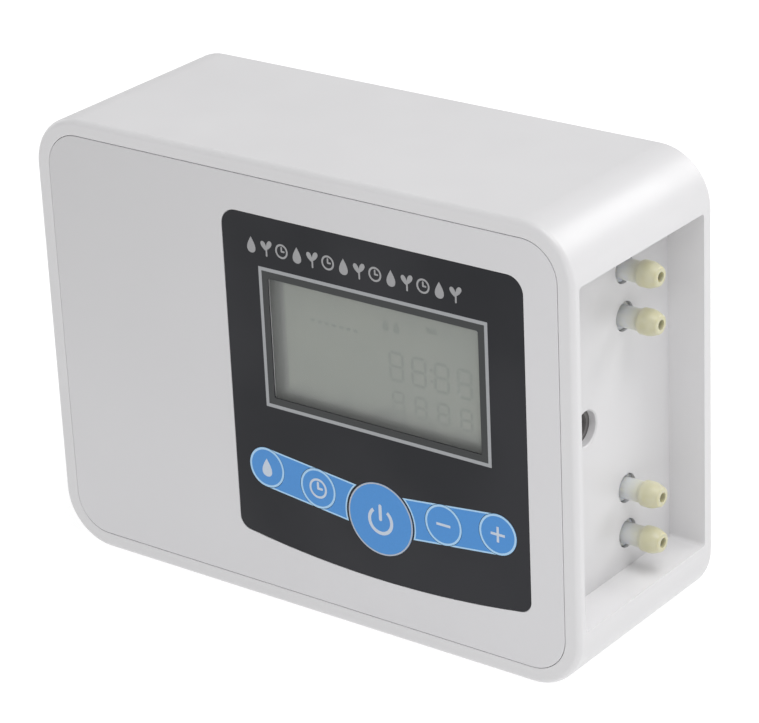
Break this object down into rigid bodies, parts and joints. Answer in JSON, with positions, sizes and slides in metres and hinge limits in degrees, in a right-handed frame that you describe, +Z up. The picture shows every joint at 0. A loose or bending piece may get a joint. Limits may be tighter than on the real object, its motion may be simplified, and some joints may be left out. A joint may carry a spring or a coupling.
{
  "type": "drip irrigation timer",
  "caption": "Box-shaped watering timer with a display, round membrane keys and small diaphragm pumps whose barbed nozzles stand in a side bay.",
  "frame": {"origin": "middle of the case's footprint, on the surface it stands on", "axes": "+X to the end with the nozzles, +Y towards the back, +Z up; the display faces -Y"},
  "size_m": [0.15, 0.055, 0.11],
  "materials": {
    "case_plastic": "satin white moulded plastic",
    "cover_plastic": "satin white moulded plastic",
    "overlay_film": "black printed film, semi-gloss",
    "key_blue": "blue printed film, semi-gloss",
    "switch_plastic": "black",
    "clear_lens": "clear",
    "lcd": "grey-green display glass",
    "frame_plastic": "black",
    "light_guide": "milky",
    "zebra_rubber": "layered rubber",
    "board_green": "solder mask",
    "screw_steel": "zinc plated",
    "chip_black": "moulded epoxy",
    "crystal_metal": "nickel plated can",
    "buzzer_black": "black",
    "capacitor_sleeve": "printed sleeve",
    "holder_black": "black",
    "cell_steel": "nickel plated",
    "chip_ceramic": "ceramic",
    "jack_black": "black",
    "connector_white": "natural nylon",
    "wire_insulation": "insulation",
    "magnet_ferrite": "ferrite",
    "brush_copper": "copper and carbon",
    "bearing_bronze": "sintered bronze",
    "cushion_rubber": "black",
    "strap_steel": "zinc plated",
    "can_steel": "nickel plated",
    "motor_plastic": "natural nylon",
    "shaft_steel": "ground",
    "armature_copper": "enamelled wire",
    "cam_plastic": "natural",
    "pump_plastic": "natural",
    "diaphragm_rubber": "black",
    "nozzle_plastic": "natural, slightly yellow and translucent"
  },
  "bodies": {
    "case": {"backlight_panel": "light_guide", "backup_cell": "cell_steel", "board_screws": "screw_steel", "buzzer": "buzzer_black", "case_screws": "screw_steel", "cell_holder": "holder_black", "chip_parts": "chip_ceramic", "clock_crystal": "crystal_metal", "control_board": "board_green", "dc_jack": "jack_black", "display_frame": "frame_plastic", "display_window": "clear_lens", "front_cover": "cover_plastic", "graphic_overlay": "overlay_film", "housing": "case_plastic", "lcd_glass": "lcd", "lead_connectors": "connector_white", "lower_diaphragm": "diaphragm_rubber", "lower_motor_can": "can_steel", "lower_motor_end_cap": "motor_plastic", "lower_pump_frame": "pump_plastic", "lower_pump_head": "nozzle_plastic", "lower_valve_plate": "pump_plastic", "microcontroller": "chip_black", "motor_brushes": "brush_copper", "motor_bushings": "bearing_bronze", "motor_cushions": "cushion_rubber", "motor_magnets": "magnet_ferrite", "motor_straps": "strap_steel", "power_parts": "chip_black", "pump_leads": "wire_insulation", "pump_screws": "screw_steel", "smoothing_capacitors": "capacitor_sleeve", "strap_screws": "screw_steel", "tact_switches": "switch_plastic", "upper_diaphragm": "diaphragm_rubber", "upper_motor_can": "can_steel", "upper_motor_end_cap": "motor_plastic", "upper_pump_frame": "pump_plastic", "upper_pump_head": "nozzle_plastic", "upper_valve_plate": "pump_plastic", "zebra_strips": "zebra_rubber"},
    "manual_button": {"manual_key": "key_blue", "manual_switch_plunger": "switch_plastic"},
    "set_button": {"set_key": "key_blue", "set_switch_plunger": "switch_plastic"},
    "ok_button": {"ok_key": "key_blue", "ok_switch_plunger": "switch_plastic"},
    "minus_button": {"minus_key": "key_blue", "minus_switch_plunger": "switch_plastic"},
    "plus_button": {"plus_key": "key_blue", "plus_switch_plunger": "switch_plastic"},
    "upper_rotor": {"upper_motor_shaft": "shaft_steel", "upper_armature": "armature_copper", "upper_eccentric": "cam_plastic"},
    "upper_wobbler": {"upper_wobble_plate": "pump_plastic"},
    "lower_rotor": {"lower_motor_shaft": "shaft_steel", "lower_armature": "armature_copper", "lower_eccentric": "cam_plastic"},
    "lower_wobbler": {"lower_wobble_plate": "pump_plastic"}
  },
  "joints": [
    {"name": "manual_press", "type": "slide", "parent": "case", "child": "manual_button", "axis": [0, 1, 0], "range_m": [0, 0.0004], "stiffness_N_per_m": 1500},
    {"name": "set_press", "type": "slide", "parent": "case", "child": "set_button", "axis": [0, 1, 0], "range_m": [0, 0.0004], "stiffness_N_per_m": 1500},
    {"name": "ok_press", "type": "slide", "parent": "case", "child": "ok_button", "axis": [0, 1, 0], "range_m": [0, 0.0004], "stiffness_N_per_m": 1500},
    {"name": "minus_press", "type": "slide", "parent": "case", "child": "minus_button", "axis": [0, 1, 0], "range_m": [0, 0.0004], "stiffness_N_per_m": 1500},
    {"name": "plus_press", "type": "slide", "parent": "case", "child": "plus_button", "axis": [0, 1, 0], "range_m": [0, 0.0004], "stiffness_N_per_m": 1500},
    {"name": "upper_motor_spin", "type": "hinge", "parent": "case", "child": "upper_rotor", "pos_m": [0.02, 0.0067, 0.0822], "axis": [1, 0, 0], "continuous": true},
    {"name": "upper_wobble", "type": "hinge", "parent": "case", "child": "upper_wobbler", "pos_m": [0.0525, 0.0067, 0.0822], "axis": [0, 1, 0], "range_deg": [-4, 4], "stiffness_Nm_per_rad": 0.05},
    {"name": "lower_motor_spin", "type": "hinge", "parent": "case", "child": "lower_rotor", "pos_m": [0.02, 0.0067, 0.029], "axis": [1, 0, 0], "continuous": true},
    {"name": "lower_wobble", "type": "hinge", "parent": "case", "child": "lower_wobbler", "pos_m": [0.0525, 0.0067, 0.029], "axis": [0, 1, 0], "range_deg": [-4, 4], "stiffness_Nm_per_rad": 0.05}
  ]
}
